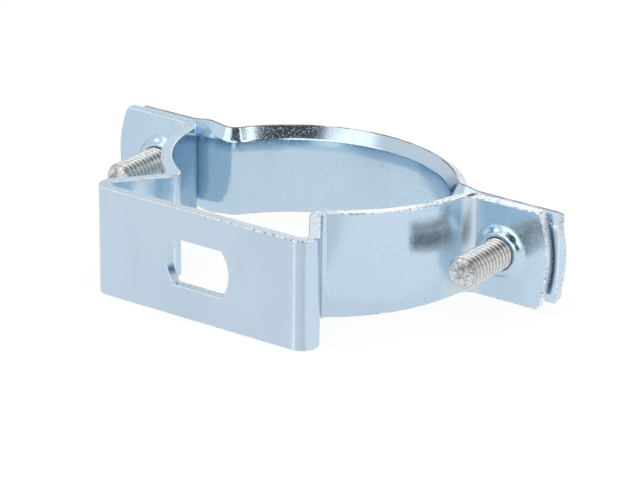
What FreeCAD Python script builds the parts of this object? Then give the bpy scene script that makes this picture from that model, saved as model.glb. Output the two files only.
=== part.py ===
import FreeCAD, Part
import math
import os
import Sketcher
from FreeCAD import Vector

# A pipe clamp that holds its pipe clear of the wall: a folded saddle, a strap and two screws.
# X runs along the base, Y from the mounting face towards the pipe, Z along the pipe.
# The origin is on the mounting face, at the centre of the fixing hole.

# Saddle strip, in millimetres and degrees
strip_thickness = 2.0
base_width = 20.0
base_flat = 40.0
standoff = 7.0
saddle_radius = 28.4
foot_bend_radius = 1.0
leg_lean = 35.0
neck_bend_radius = 1.0
ear_bend_radius = 2.5
ear_taper = 1.05
ear_overhang = 9.5
ear_end_radius = 22.0
hole_length = 13.2
hole_height = 8.5

# Threaded collars in the saddle's ears
screw_offset = 9.0
thread_diameter = 6.0
thread_clearance = 0.05
collar_height = 1.1
collar_land = 0.5
collar_crest = 0.8
collar_fillet = 0.8

# Strap
strap_thickness = 2.0
strap_inset = 0.3
strap_ease = 0.7
strap_sink = 14.1
strap_bend_radius = 2.5
strap_shift = 1.5
flare_angle = 31.0
slot_clearance = 0.35
slot_play = 0.2

# Screws
screw_length = 16.6
tip_bevel = 0.7
head_ledge = 2.0
head_clearance = 0.6
head_rim = 3.3
head_bevel = 0.5
drive_width = 1.6
drive_depth = 1.6

START, END, CENTRE = range(1, 4)
X_AXIS, Y_AXIS = range(-1, -3, -1)
ORIGIN = X_AXIS

doc = FreeCAD.newDocument("spacer_clamp")
sheet = doc.addObject("Spreadsheet::Sheet", "sizes")
aliases = []


def size(alias, content):
    """Put one size on the next row of the sheet: a number, or a formula on the sizes above it."""
    aliases.append(alias)
    row = len(aliases)
    sheet.set(f"A{row}", alias)
    sheet.set(f"B{row}", str(content))
    sheet.setAlias(f"B{row}", alias)


def worked_out(alias, formula):
    """A size that follows from others: it goes on the sheet, and its present value comes back."""
    size(alias, f"={formula}")
    doc.recompute()
    return float(sheet.get(alias))


size("strip_thickness", strip_thickness)
size("base_width", base_width)
size("base_flat", base_flat)
size("standoff", standoff)
size("saddle_radius", saddle_radius)
size("foot_bend_radius", foot_bend_radius)
size("leg_lean", leg_lean)
size("neck_bend_radius", neck_bend_radius)
size("ear_bend_radius", ear_bend_radius)
size("ear_taper", ear_taper)
size("ear_overhang", ear_overhang)
size("ear_end_radius", ear_end_radius)
size("hole_length", hole_length)
size("hole_height", hole_height)
size("screw_offset", screw_offset)
size("thread_diameter", thread_diameter)
size("thread_clearance", thread_clearance)
size("collar_height", collar_height)
size("collar_land", collar_land)
size("collar_crest", collar_crest)
size("collar_fillet", collar_fillet)
size("strap_thickness", strap_thickness)
size("strap_inset", strap_inset)
size("strap_ease", strap_ease)
size("strap_sink", strap_sink)
size("strap_bend_radius", strap_bend_radius)
size("strap_shift", strap_shift)
size("flare_angle", flare_angle)
size("slot_clearance", slot_clearance)
size("slot_play", slot_play)
size("screw_length", screw_length)
size("tip_bevel", tip_bevel)
size("head_ledge", head_ledge)
size("head_clearance", head_clearance)
size("head_rim", head_rim)
size("head_bevel", head_bevel)
size("drive_width", drive_width)
size("drive_depth", drive_depth)

# Sizes that follow from those: the pipe's axis stands on the seat, the screws stand beside it,
# the ears end past the screws, and the strap's flat web is as wide as a screw head and its clearance.
axis_height = worked_out("axis_height", "saddle_radius + 2 * strip_thickness + standoff")
screw_spacing = worked_out("screw_spacing", "2 * (saddle_radius + screw_offset)")
clamp_length = worked_out("clamp_length", "screw_spacing + 2 * ear_overhang")
ear_width = worked_out("ear_width", "base_width - 2 * ear_taper")
rim_diameter = worked_out("rim_diameter", "thread_diameter + 2 * collar_land")
shank_diameter = worked_out("shank_diameter", "thread_diameter - 2 * thread_clearance")
head_diameter = worked_out("head_diameter", "thread_diameter + 2 * head_ledge")
head_height = worked_out("head_height", "head_rim + head_bevel")
strap_radius = worked_out("strap_radius", "saddle_radius - strap_ease")
strap_width = worked_out("strap_width", "ear_width - 2 * strap_inset")
web_width = worked_out(
    "web_width", "head_diameter + 2 * head_clearance + 2 * strap_thickness * tan(flare_angle * 0.5 deg)"
)
slot_width = worked_out("slot_width", "shank_diameter + 2 * slot_clearance")
slot_length = worked_out("slot_length", "slot_width + 2 * (strap_shift + slot_play)")


def new_body(name, label):
    body = doc.addObject("PartDesign::Body", name)
    body.Label = label
    return body


def new_sketch(body, name, plane):
    """A sketch on one of the body's own origin planes."""
    sketch = body.newObject("Sketcher::SketchObject", name)
    support = [item for item in body.Origin.OriginFeatures if item.Role == plane][0]
    sketch.AttachmentSupport = [(support, "")]
    sketch.MapMode = "FlatFace"
    return sketch


def line(sketch, start, end):
    return sketch.addGeometry(Part.LineSegment(Vector(*start, 0), Vector(*end, 0)), False)


def arc(sketch, centre, start, end):
    """An arc drawn anticlockwise about centre, from start to end."""
    radius = math.dist(centre, start)
    first = math.atan2(start[1] - centre[1], start[0] - centre[0])
    last = math.atan2(end[1] - centre[1], end[0] - centre[0])
    circle = Part.Circle(Vector(*centre, 0), Vector(0, 0, 1), radius)
    return sketch.addGeometry(Part.ArcOfCircle(circle, first, last), False)


def tie(sketch, kind, *where):
    sketch.addConstraint(Sketcher.Constraint(kind, *where))


def drive(sketch, name, expression, kind, *where):
    """A dimension whose value follows an expression on the sheet."""
    index = sketch.addConstraint(Sketcher.Constraint(kind, *where))
    sketch.renameConstraint(index, name)
    sketch.setExpression(f"Constraints.{name}", expression)


def toward(start, end, reach):
    """The point that lies reach away from start, on the line to end."""
    length = math.dist(start, end)
    return (start[0] + (end[0] - start[0]) * reach / length, start[1] + (end[1] - start[1]) * reach / length)


def pad(body, name, sketch, expression):
    feature = body.newObject("PartDesign::Pad", name)
    feature.Profile = sketch
    feature.Midplane = True
    feature.setExpression("Length", expression)
    return feature


def pocket_through(body, name, sketch):
    """A cut both ways from the sketch, through everything in its path."""
    feature = body.newObject("PartDesign::Pocket", name)
    feature.Profile = sketch
    feature.Type = "ThroughAll"
    feature.Midplane = True
    return feature


def mirrored(body, name, originals):
    """The other half, across the body's YZ plane."""
    feature = body.newObject("PartDesign::Mirrored", name)
    feature.Originals = originals
    plane = [item for item in body.Origin.OriginFeatures if item.Role == "YZ_Plane"][0]
    feature.MirrorPlane = (plane, [""])
    body.Tip = feature
    return feature


def ear_end_sketch(body, name):
    """What is cut away beyond the rounded end of an ear."""
    reach = clamp_length / 2
    radius = ear_end_radius
    half = base_width / 2 + strip_thickness
    inner = reach - radius + math.sqrt(radius ** 2 - half ** 2)
    outer = reach + strip_thickness
    sketch = new_sketch(body, name, "XZ_Plane")
    curve = arc(sketch, (reach - radius, 0), (inner, -half), (inner, half))
    top = line(sketch, (inner, half), (outer, half))
    side = line(sketch, (outer, half), (outer, -half))
    bottom = line(sketch, (outer, -half), (inner, -half))
    tie(sketch, "Coincident", curve, END, top, START)
    tie(sketch, "Coincident", top, END, side, START)
    tie(sketch, "Coincident", side, END, bottom, START)
    tie(sketch, "Coincident", bottom, END, curve, START)
    tie(sketch, "Horizontal", top)
    tie(sketch, "Horizontal", bottom)
    tie(sketch, "Vertical", side)
    tie(sketch, "PointOnObject", curve, CENTRE, X_AXIS)
    drive(sketch, "radius", "sizes.ear_end_radius", "Radius", curve, radius)
    drive(sketch, "centre", "sizes.clamp_length / 2 - sizes.ear_end_radius",
          "DistanceX", ORIGIN, START, curve, CENTRE, reach - radius)
    drive(sketch, "outer", "sizes.clamp_length / 2 + sizes.strip_thickness",
          "DistanceX", ORIGIN, START, side, START, outer)
    drive(sketch, "above", "sizes.base_width / 2 + sizes.strip_thickness",
          "DistanceY", ORIGIN, START, top, END, half)
    drive(sketch, "below", "sizes.base_width / 2 + sizes.strip_thickness",
          "DistanceY", side, END, ORIGIN, START, half)
    return sketch


# Saddle: the folded strip, seen along the pipe, drawn for the right half.
# The front line is the side that meets the wall, the back line the side that carries the pipe.
saddle = new_body("saddle", "Spacer saddle")
thick = strip_thickness
lean = math.radians(leg_lean)
across = (math.cos(lean), math.sin(lean))
along = (-math.sin(lean), math.cos(lean))
flat = base_flat / 2
foot_in = foot_bend_radius
foot_out = foot_in + thick
neck_in = neck_bend_radius
neck_out = neck_in + thick
ear_in = ear_bend_radius
ear_out = ear_in + thick
seat = saddle_radius
height = axis_height
reach = clamp_length / 2

pipe = (0, height)
foot = (flat, foot_out)
neck_across = foot[0] * across[0] + foot[1] * across[1] + foot_out + neck_in
pipe_across = height * across[1]
pipe_along = height * along[1]
neck_along = pipe_along - math.sqrt((seat + neck_out) ** 2 - (neck_across - pipe_across) ** 2)
neck = (across[0] * neck_across + along[0] * neck_along, across[1] * neck_across + along[1] * neck_along)
ear = (math.sqrt((seat + ear_out) ** 2 - ear_out ** 2), height - ear_out)

foot_front = (foot[0] + across[0] * foot_out, foot[1] + across[1] * foot_out)
foot_back = (foot[0] + across[0] * foot_in, foot[1] + across[1] * foot_in)
neck_leg_front = (neck[0] - across[0] * neck_in, neck[1] - across[1] * neck_in)
neck_leg_back = (neck[0] - across[0] * neck_out, neck[1] - across[1] * neck_out)
neck_seat_front = toward(neck, pipe, neck_in)
neck_seat_back = toward(neck, pipe, neck_out)
ear_seat_front = toward(ear, pipe, ear_in)
ear_seat_back = toward(ear, pipe, ear_out)
ear_front = (ear[0], height - thick)
ear_back = (ear[0], height)

fold = new_sketch(saddle, "fold", "XY_Plane")
base_front = line(fold, (0, 0), (flat, 0))
foot_outer = arc(fold, foot, (flat, 0), foot_front)
leg_front = line(fold, foot_front, neck_leg_front)
neck_inner = arc(fold, neck, neck_seat_front, neck_leg_front)
seat_front = arc(fold, pipe, neck_seat_front, ear_seat_front)
ear_inner = arc(fold, ear, ear_front, ear_seat_front)
lug_front = line(fold, ear_front, (reach, height - thick))
lug_end = line(fold, (reach, height - thick), (reach, height))
lug_back = line(fold, (reach, height), ear_back)
ear_outer = arc(fold, ear, ear_back, ear_seat_back)
seat_back = arc(fold, pipe, neck_seat_back, ear_seat_back)
neck_outer = arc(fold, neck, neck_seat_back, neck_leg_back)
leg_back = line(fold, neck_leg_back, foot_back)
foot_inner = arc(fold, foot, (flat, thick), foot_back)
base_back = line(fold, (flat, thick), (0, thick))
middle = line(fold, (0, thick), (0, 0))

tie(fold, "Coincident", base_front, START, ORIGIN, START)
tie(fold, "Tangent", base_front, END, foot_outer, START)
tie(fold, "Tangent", foot_outer, END, leg_front, START)
tie(fold, "Tangent", leg_front, END, neck_inner, END)
tie(fold, "Tangent", neck_inner, START, seat_front, START)
tie(fold, "Tangent", seat_front, END, ear_inner, END)
tie(fold, "Tangent", ear_inner, START, lug_front, START)
tie(fold, "Coincident", lug_front, END, lug_end, START)
tie(fold, "Coincident", lug_end, END, lug_back, START)
tie(fold, "Tangent", lug_back, END, ear_outer, START)
tie(fold, "Tangent", ear_outer, END, seat_back, END)
tie(fold, "Tangent", seat_back, START, neck_outer, START)
tie(fold, "Tangent", neck_outer, END, leg_back, START)
tie(fold, "Tangent", leg_back, END, foot_inner, END)
tie(fold, "Tangent", foot_inner, START, base_back, START)
tie(fold, "Coincident", base_back, END, middle, START)
tie(fold, "Coincident", middle, END, base_front, START)
tie(fold, "Coincident", foot_outer, CENTRE, foot_inner, CENTRE)
tie(fold, "Coincident", neck_outer, CENTRE, neck_inner, CENTRE)
tie(fold, "Coincident", ear_outer, CENTRE, ear_inner, CENTRE)
tie(fold, "Coincident", seat_front, CENTRE, seat_back, CENTRE)
tie(fold, "Horizontal", base_front)
tie(fold, "Horizontal", base_back)
tie(fold, "Horizontal", lug_front)
tie(fold, "Horizontal", lug_back)
tie(fold, "Vertical", lug_end)
tie(fold, "Vertical", middle)
tie(fold, "PointOnObject", seat_back, CENTRE, Y_AXIS)
drive(fold, "foot_outer", "sizes.foot_bend_radius + sizes.strip_thickness", "Radius", foot_outer, foot_out)
drive(fold, "foot_inner", "sizes.foot_bend_radius", "Radius", foot_inner, foot_in)
drive(fold, "neck_inner", "sizes.neck_bend_radius", "Radius", neck_inner, neck_in)
drive(fold, "ear_inner", "sizes.ear_bend_radius", "Radius", ear_inner, ear_in)
drive(fold, "seat_back", "sizes.saddle_radius", "Radius", seat_back, seat)
drive(fold, "seat_front", "sizes.saddle_radius + sizes.strip_thickness", "Radius", seat_front, seat + thick)
drive(fold, "axis_height", "sizes.axis_height", "DistanceY", ORIGIN, START, seat_back, CENTRE, height)
drive(fold, "lug_face", "sizes.axis_height - sizes.strip_thickness",
      "DistanceY", ORIGIN, START, lug_front, END, height - thick)
drive(fold, "flat", "sizes.base_flat / 2", "DistanceX", base_front, START, base_front, END, flat)
drive(fold, "reach", "sizes.clamp_length / 2", "DistanceX", ORIGIN, START, lug_front, END, reach)
drive(fold, "lean", "sizes.leg_lean * 1 deg + 90 deg",
      "Angle", base_front, START, leg_front, START, lean + math.pi / 2)
doc.recompute()
strip = pad(saddle, "strip", fold, "sizes.base_width")

# The ear ends are rounded, and a collar is drawn out of each ear for the thread
ear_end = pocket_through(saddle, "ear_end", ear_end_sketch(saddle, "ear_end_outline"))
doc.recompute()

post = screw_spacing / 2
rim_reach = post + rim_diameter / 2
face = height - thick
top = face - collar_height
inside = height - thick / 2
crest_centre = (rim_reach, top + collar_crest)
drop = collar_height - collar_crest - collar_fillet
skirt = rim_reach + math.sqrt((collar_crest + collar_fillet) ** 2 - drop ** 2)
fillet_centre = (skirt, face - collar_fillet)
shoulder = toward(crest_centre, fillet_centre, collar_crest)
drawn = new_sketch(saddle, "collar_section", "XY_Plane")
core = line(drawn, (post, inside), (post, top))
rim = line(drawn, (post, top), (rim_reach, top))
crest = arc(drawn, crest_centre, (rim_reach, top), shoulder)
fillet = arc(drawn, fillet_centre, (skirt, face), shoulder)
sunk = line(drawn, (skirt, face), (skirt, inside))
floor = line(drawn, (skirt, inside), (post, inside))
tie(drawn, "Coincident", core, END, rim, START)
tie(drawn, "Tangent", rim, END, crest, START)
tie(drawn, "Tangent", crest, END, fillet, END)
tie(drawn, "Coincident", fillet, START, sunk, START)
tie(drawn, "Coincident", sunk, END, floor, START)
tie(drawn, "Coincident", floor, END, core, START)
tie(drawn, "Vertical", core)
tie(drawn, "Horizontal", rim)
tie(drawn, "Vertical", sunk)
tie(drawn, "Horizontal", floor)
tie(drawn, "Vertical", fillet, CENTRE, fillet, START)
drive(drawn, "post", "sizes.screw_spacing / 2", "DistanceX", ORIGIN, START, core, START, post)
drive(drawn, "rim", "sizes.rim_diameter / 2", "DistanceX", rim, START, rim, END, rim_diameter / 2)
drive(drawn, "crest", "sizes.collar_crest", "Radius", crest, collar_crest)
drive(drawn, "fillet", "sizes.collar_fillet", "Radius", fillet, collar_fillet)
drive(drawn, "top", "sizes.axis_height - sizes.strip_thickness - sizes.collar_height",
      "DistanceY", ORIGIN, START, rim, END, top)
drive(drawn, "face", "sizes.axis_height - sizes.strip_thickness",
      "DistanceY", ORIGIN, START, sunk, START, face)
drive(drawn, "inside", "sizes.axis_height - sizes.strip_thickness / 2",
      "DistanceY", ORIGIN, START, sunk, END, inside)
turning = drawn.addGeometry(Part.LineSegment(Vector(post, top, 0), Vector(post, inside, 0)), True)
tie(drawn, "Coincident", turning, START, core, END)
tie(drawn, "Coincident", turning, END, core, START)
doc.recompute()
collar = saddle.newObject("PartDesign::Revolution", "collar")
collar.Profile = drawn
collar.ReferenceAxis = (drawn, ["Axis0"])
collar.Angle = 360
doc.recompute()

bore_outline = new_sketch(saddle, "bore_outline", "XZ_Plane")
bore_radius = thread_diameter / 2
ring_line = bore_outline.addGeometry(Part.Circle(Vector(post, 0, 0), Vector(0, 0, 1), bore_radius), False)
tie(bore_outline, "PointOnObject", ring_line, CENTRE, X_AXIS)
drive(bore_outline, "post", "sizes.screw_spacing / 2", "DistanceX", ORIGIN, START, ring_line, CENTRE, post)
drive(bore_outline, "radius", "sizes.thread_diameter / 2", "Radius", ring_line, bore_radius)
bore = pocket_through(saddle, "bore", bore_outline)
doc.recompute()
mirrored(saddle, "both_halves", [strip, ear_end, collar, bore])
doc.recompute()

# The strip narrows evenly from the base to the ears
wide = base_width / 2
narrow = ear_width / 2
taper_start = foot_out
taper_end = height - ear_out
beyond = height + thick
for name, side in (("upper_taper", 1), ("lower_taper", -1)):
    outline = new_sketch(saddle, f"{name}_outline", "YZ_Plane")
    slope = line(outline, (taper_start, side * wide), (taper_end, side * narrow))
    level = line(outline, (taper_end, side * narrow), (beyond, side * narrow))
    far = line(outline, (beyond, side * narrow), (beyond, side * wide))
    back = line(outline, (beyond, side * wide), (taper_start, side * wide))
    tie(outline, "Coincident", slope, END, level, START)
    tie(outline, "Coincident", level, END, far, START)
    tie(outline, "Coincident", far, END, back, START)
    tie(outline, "Coincident", back, END, slope, START)
    tie(outline, "Horizontal", level)
    tie(outline, "Vertical", far)
    tie(outline, "Horizontal", back)
    low = (ORIGIN, START, slope, START) if side > 0 else (slope, START, ORIGIN, START)
    high = (ORIGIN, START, slope, END) if side > 0 else (slope, END, ORIGIN, START)
    drive(outline, "wide", "sizes.base_width / 2", "DistanceY", *low, wide)
    drive(outline, "narrow", "sizes.ear_width / 2", "DistanceY", *high, narrow)
    drive(outline, "first", "sizes.foot_bend_radius + sizes.strip_thickness",
          "DistanceX", ORIGIN, START, slope, START, taper_start)
    drive(outline, "last", "sizes.axis_height - sizes.strip_thickness - sizes.ear_bend_radius",
          "DistanceX", ORIGIN, START, slope, END, taper_end)
    drive(outline, "beyond", "sizes.axis_height + sizes.strip_thickness",
          "DistanceX", ORIGIN, START, far, START, beyond)
    saddle.Tip = pocket_through(saddle, name, outline)
    doc.recompute()

# The fixing hole is a round hole with two flats
hole_end = hole_length / 2
hole_side = hole_height / 2
corner = math.sqrt(hole_end ** 2 - hole_side ** 2)
hole = new_sketch(saddle, "fixing_hole_outline", "XZ_Plane")
right = arc(hole, (0, 0), (corner, -hole_side), (corner, hole_side))
upper = line(hole, (corner, hole_side), (-corner, hole_side))
left = arc(hole, (0, 0), (-corner, hole_side), (-corner, -hole_side))
lower = line(hole, (-corner, -hole_side), (corner, -hole_side))
tie(hole, "Coincident", right, END, upper, START)
tie(hole, "Coincident", upper, END, left, START)
tie(hole, "Coincident", left, END, lower, START)
tie(hole, "Coincident", lower, END, right, START)
tie(hole, "Coincident", right, CENTRE, ORIGIN, START)
tie(hole, "Coincident", left, CENTRE, ORIGIN, START)
tie(hole, "Horizontal", upper)
tie(hole, "Horizontal", lower)
drive(hole, "round", "sizes.hole_length / 2", "Radius", right, hole_end)
drive(hole, "above", "sizes.hole_height / 2", "DistanceY", ORIGIN, START, upper, START, hole_side)
drive(hole, "below", "sizes.hole_height / 2", "DistanceY", lower, START, ORIGIN, START, hole_side)
saddle.Tip = pocket_through(saddle, "fixing_hole", hole)
doc.recompute()

# Strap: a strip with both edges turned outwards, bent round the far side of the pipe.
# The right half of the section is swept along the strap's inner line, then mirrored.
strap = new_body("strap", "Strap")
strap.setExpression("Placement.Base.x", "sizes.strap_shift")
web = strap_thickness
bend = strap_radius
sink = strap_sink
turn = strap_bend_radius + web
strap_centre = (0, height - sink)
crown = (0, height - sink + bend)
strap_turn = (math.sqrt((bend + turn) ** 2 - (sink + turn) ** 2), height + turn)
strap_joint = toward(strap_turn, strap_centre, turn)

path = new_sketch(strap, "strap_path", "XY_Plane")
crown_arc = arc(path, strap_centre, strap_joint, crown)
turn_arc = arc(path, strap_turn, strap_joint, (strap_turn[0], height))
wing = line(path, (strap_turn[0], height), (reach, height))
tie(path, "Tangent", crown_arc, START, turn_arc, START)
tie(path, "Tangent", turn_arc, END, wing, START)
tie(path, "Horizontal", wing)
tie(path, "PointOnObject", crown_arc, CENTRE, Y_AXIS)
tie(path, "PointOnObject", crown_arc, END, Y_AXIS)
drive(path, "radius", "sizes.strap_radius", "Radius", crown_arc, bend)
drive(path, "turn", "sizes.strap_bend_radius + sizes.strap_thickness", "Radius", turn_arc, turn)
drive(path, "centre", "sizes.axis_height - sizes.strap_sink",
      "DistanceY", ORIGIN, START, crown_arc, CENTRE, height - sink)
drive(path, "wing_face", "sizes.axis_height", "DistanceY", ORIGIN, START, wing, END, height)
drive(path, "reach", "sizes.clamp_length / 2", "DistanceX", ORIGIN, START, wing, END, reach)

flare = math.radians(flare_angle)
half_width = strap_width / 2
web_half = web_width / 2
flare_height = half_width - web_half
lip = (crown[1] + flare_height * math.tan(flare), half_width)
lip_back = (lip[0] + web * math.cos(flare), lip[1] - web * math.sin(flare))
crease = (crown[1] + web, web_half - web * math.tan(flare / 2))

section = new_sketch(strap, "strap_section", "YZ_Plane")
inner_face = line(section, (crown[1], -web_half), (crown[1], web_half))
upper_lip = line(section, (crown[1], web_half), lip)
upper_edge = line(section, lip, lip_back)
upper_back = line(section, lip_back, crease)
outer_face = line(section, crease, (crease[0], -crease[1]))
lower_back = line(section, (crease[0], -crease[1]), (lip_back[0], -lip_back[1]))
lower_edge = line(section, (lip_back[0], -lip_back[1]), (lip[0], -lip[1]))
lower_lip = line(section, (lip[0], -lip[1]), (crown[1], -web_half))
chain = (inner_face, upper_lip, upper_edge, upper_back, outer_face, lower_back, lower_edge, lower_lip)
for first, second in zip(chain, chain[1:] + chain[:1]):
    tie(section, "Coincident", first, END, second, START)
tie(section, "Symmetric", inner_face, START, inner_face, END, X_AXIS)
tie(section, "Symmetric", outer_face, START, outer_face, END, X_AXIS)
tie(section, "Symmetric", upper_lip, END, lower_lip, START, X_AXIS)
tie(section, "Symmetric", upper_edge, END, lower_edge, START, X_AXIS)
tie(section, "Perpendicular", upper_lip, upper_edge)
tie(section, "Parallel", upper_lip, upper_back)
drive(section, "inner", "sizes.axis_height - sizes.strap_sink + sizes.strap_radius",
      "DistanceX", ORIGIN, START, inner_face, END, crown[1])
drive(section, "web", "sizes.strap_thickness", "DistanceX", inner_face, END, outer_face, START, web)
drive(section, "edge", "sizes.strap_thickness", "Distance", upper_edge, START, upper_edge, END, web)
drive(section, "width", "sizes.strap_width / 2", "DistanceY", ORIGIN, START, upper_lip, END, half_width)
drive(section, "web_edge", "sizes.web_width / 2", "DistanceY", ORIGIN, START, upper_lip, START, web_half)
drive(section, "angle", "90 deg - sizes.flare_angle * 1 deg", "Angle", upper_lip, math.pi / 2 - flare)
doc.recompute()

band = strap.newObject("PartDesign::AdditivePipe", "band")
band.Profile = section
band.Spine = (path, ["Edge1", "Edge2", "Edge3"])
doc.recompute()
strap_end = pocket_through(strap, "strap_end", ear_end_sketch(strap, "strap_end_outline"))
doc.recompute()

slot_radius = slot_width / 2
slot_half = slot_length / 2 - slot_radius
slot = new_sketch(strap, "slot_outline", "XZ_Plane")
slot_far = post + slot_half
slot_near = post - slot_half
slot_right = arc(slot, (slot_far, 0), (slot_far, -slot_radius), (slot_far, slot_radius))
slot_top = line(slot, (slot_far, slot_radius), (slot_near, slot_radius))
slot_left = arc(slot, (slot_near, 0), (slot_near, slot_radius), (slot_near, -slot_radius))
slot_bottom = line(slot, (slot_near, -slot_radius), (slot_far, -slot_radius))
tie(slot, "Tangent", slot_right, END, slot_top, START)
tie(slot, "Tangent", slot_top, END, slot_left, START)
tie(slot, "Tangent", slot_left, END, slot_bottom, START)
tie(slot, "Tangent", slot_bottom, END, slot_right, START)
tie(slot, "PointOnObject", slot_right, CENTRE, X_AXIS)
tie(slot, "PointOnObject", slot_left, CENTRE, X_AXIS)
drive(slot, "radius", "sizes.slot_width / 2", "Radius", slot_right, slot_radius)
drive(slot, "right", "(sizes.screw_spacing + sizes.slot_length - sizes.slot_width) / 2",
      "DistanceX", ORIGIN, START, slot_right, CENTRE, slot_far)
drive(slot, "left", "(sizes.screw_spacing - sizes.slot_length + sizes.slot_width) / 2",
      "DistanceX", ORIGIN, START, slot_left, CENTRE, slot_near)
screw_slot = pocket_through(strap, "screw_slot", slot)
doc.recompute()
mirrored(strap, "both_sides", [band, strap_end, screw_slot])
doc.recompute()


def build_screw(name, label, side):
    """A slotted cheese head screw, its head against the back of the strap and its tip towards the wall."""
    screw = new_body(name, label)
    screw.setExpression("Placement.Base.x", f"{side} * sizes.screw_spacing / 2")
    screw.setExpression("Placement.Base.y", "sizes.axis_height + sizes.strap_thickness")
    shank = shank_diameter / 2
    length = screw_length
    tip = tip_bevel
    head = head_diameter / 2
    rim_height = head_rim
    crown_height = head_height
    bevel = head_bevel
    turned = new_sketch(screw, f"{name}_section", "XY_Plane")
    axis = line(turned, (0, crown_height), (0, -length))
    end_face = line(turned, (0, -length), (shank - tip, -length))
    end_bevel = line(turned, (shank - tip, -length), (shank, tip - length))
    stem = line(turned, (shank, tip - length), (shank, 0))
    seat_face = line(turned, (shank, 0), (head, 0))
    rim_side = line(turned, (head, 0), (head, rim_height))
    head_edge = line(turned, (head, rim_height), (head - bevel, crown_height))
    crown = line(turned, (head - bevel, crown_height), (0, crown_height))
    tie(turned, "Coincident", axis, END, end_face, START)
    tie(turned, "Coincident", end_face, END, end_bevel, START)
    tie(turned, "Coincident", end_bevel, END, stem, START)
    tie(turned, "Coincident", stem, END, seat_face, START)
    tie(turned, "Coincident", seat_face, END, rim_side, START)
    tie(turned, "Coincident", rim_side, END, head_edge, START)
    tie(turned, "Coincident", head_edge, END, crown, START)
    tie(turned, "Coincident", crown, END, axis, START)
    tie(turned, "PointOnObject", axis, START, Y_AXIS)
    tie(turned, "PointOnObject", axis, END, Y_AXIS)
    tie(turned, "Horizontal", crown)
    tie(turned, "Horizontal", end_face)
    tie(turned, "Vertical", stem)
    tie(turned, "PointOnObject", stem, END, X_AXIS)
    tie(turned, "Horizontal", seat_face)
    tie(turned, "Vertical", rim_side)
    drive(turned, "shank", "sizes.shank_diameter / 2", "DistanceX", ORIGIN, START, stem, END, shank)
    drive(turned, "length", "sizes.screw_length", "DistanceY", axis, END, ORIGIN, START, length)
    drive(turned, "tip_side", "sizes.tip_bevel", "DistanceX", end_bevel, START, end_bevel, END, tip)
    drive(turned, "tip_face", "sizes.tip_bevel", "DistanceY", end_bevel, START, end_bevel, END, tip)
    drive(turned, "head", "sizes.head_diameter / 2", "DistanceX", ORIGIN, START, seat_face, END, head)
    drive(turned, "rim", "sizes.head_rim", "DistanceY", rim_side, START, rim_side, END, rim_height)
    drive(turned, "bevel", "sizes.head_bevel", "DistanceX", crown, START, head_edge, START, bevel)
    drive(turned, "crown", "sizes.head_height", "DistanceY", ORIGIN, START, axis, START, crown_height)
    doc.recompute()
    solid = screw.newObject("PartDesign::Revolution", f"{name}_turned")
    solid.Profile = turned
    solid.ReferenceAxis = (turned, ["V_Axis"])
    solid.Angle = 360
    doc.recompute()

    groove = new_sketch(screw, f"{name}_drive_outline", "XY_Plane")
    half = drive_width / 2
    depth = drive_depth
    bottom = line(groove, (-half, crown_height - depth), (half, crown_height - depth))
    right_side = line(groove, (half, crown_height - depth), (half, crown_height + depth))
    roof = line(groove, (half, crown_height + depth), (-half, crown_height + depth))
    left_side = line(groove, (-half, crown_height + depth), (-half, crown_height - depth))
    tie(groove, "Coincident", bottom, END, right_side, START)
    tie(groove, "Coincident", right_side, END, roof, START)
    tie(groove, "Coincident", roof, END, left_side, START)
    tie(groove, "Coincident", left_side, END, bottom, START)
    tie(groove, "Vertical", right_side)
    tie(groove, "Horizontal", roof)
    tie(groove, "Symmetric", bottom, START, bottom, END, Y_AXIS)
    tie(groove, "Vertical", left_side)
    drive(groove, "width", "sizes.drive_width", "DistanceX", bottom, START, bottom, END, 2 * half)
    drive(groove, "floor", "sizes.head_height - sizes.drive_depth",
          "DistanceY", ORIGIN, START, bottom, END, crown_height - depth)
    drive(groove, "roof", "sizes.head_height + sizes.drive_depth",
          "DistanceY", ORIGIN, START, roof, START, crown_height + depth)
    screw.Tip = pocket_through(screw, f"{name}_drive_slot", groove)
    doc.recompute()
    return screw


left_screw = build_screw("left_screw", "Left screw", -1)
right_screw = build_screw("right_screw", "Right screw", 1)

doc.recompute()
for item in doc.Objects:
    if "Invalid" in item.State or "Error" in item.State:
        raise RuntimeError(f"{item.Name} did not build: {item.State}")

os.makedirs("parts", exist_ok=True)
for body in (saddle, strap, left_screw, right_screw):
    shape = body.Shape
    if shape.isNull() or not shape.isValid() or len(shape.Solids) != 1:
        raise RuntimeError(f"{body.Name} is not one valid solid")
    shape.exportStep(f"parts/{body.Name}.step")
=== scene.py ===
import math

import bmesh
import bpy
from mathutils import Matrix, Vector


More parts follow.
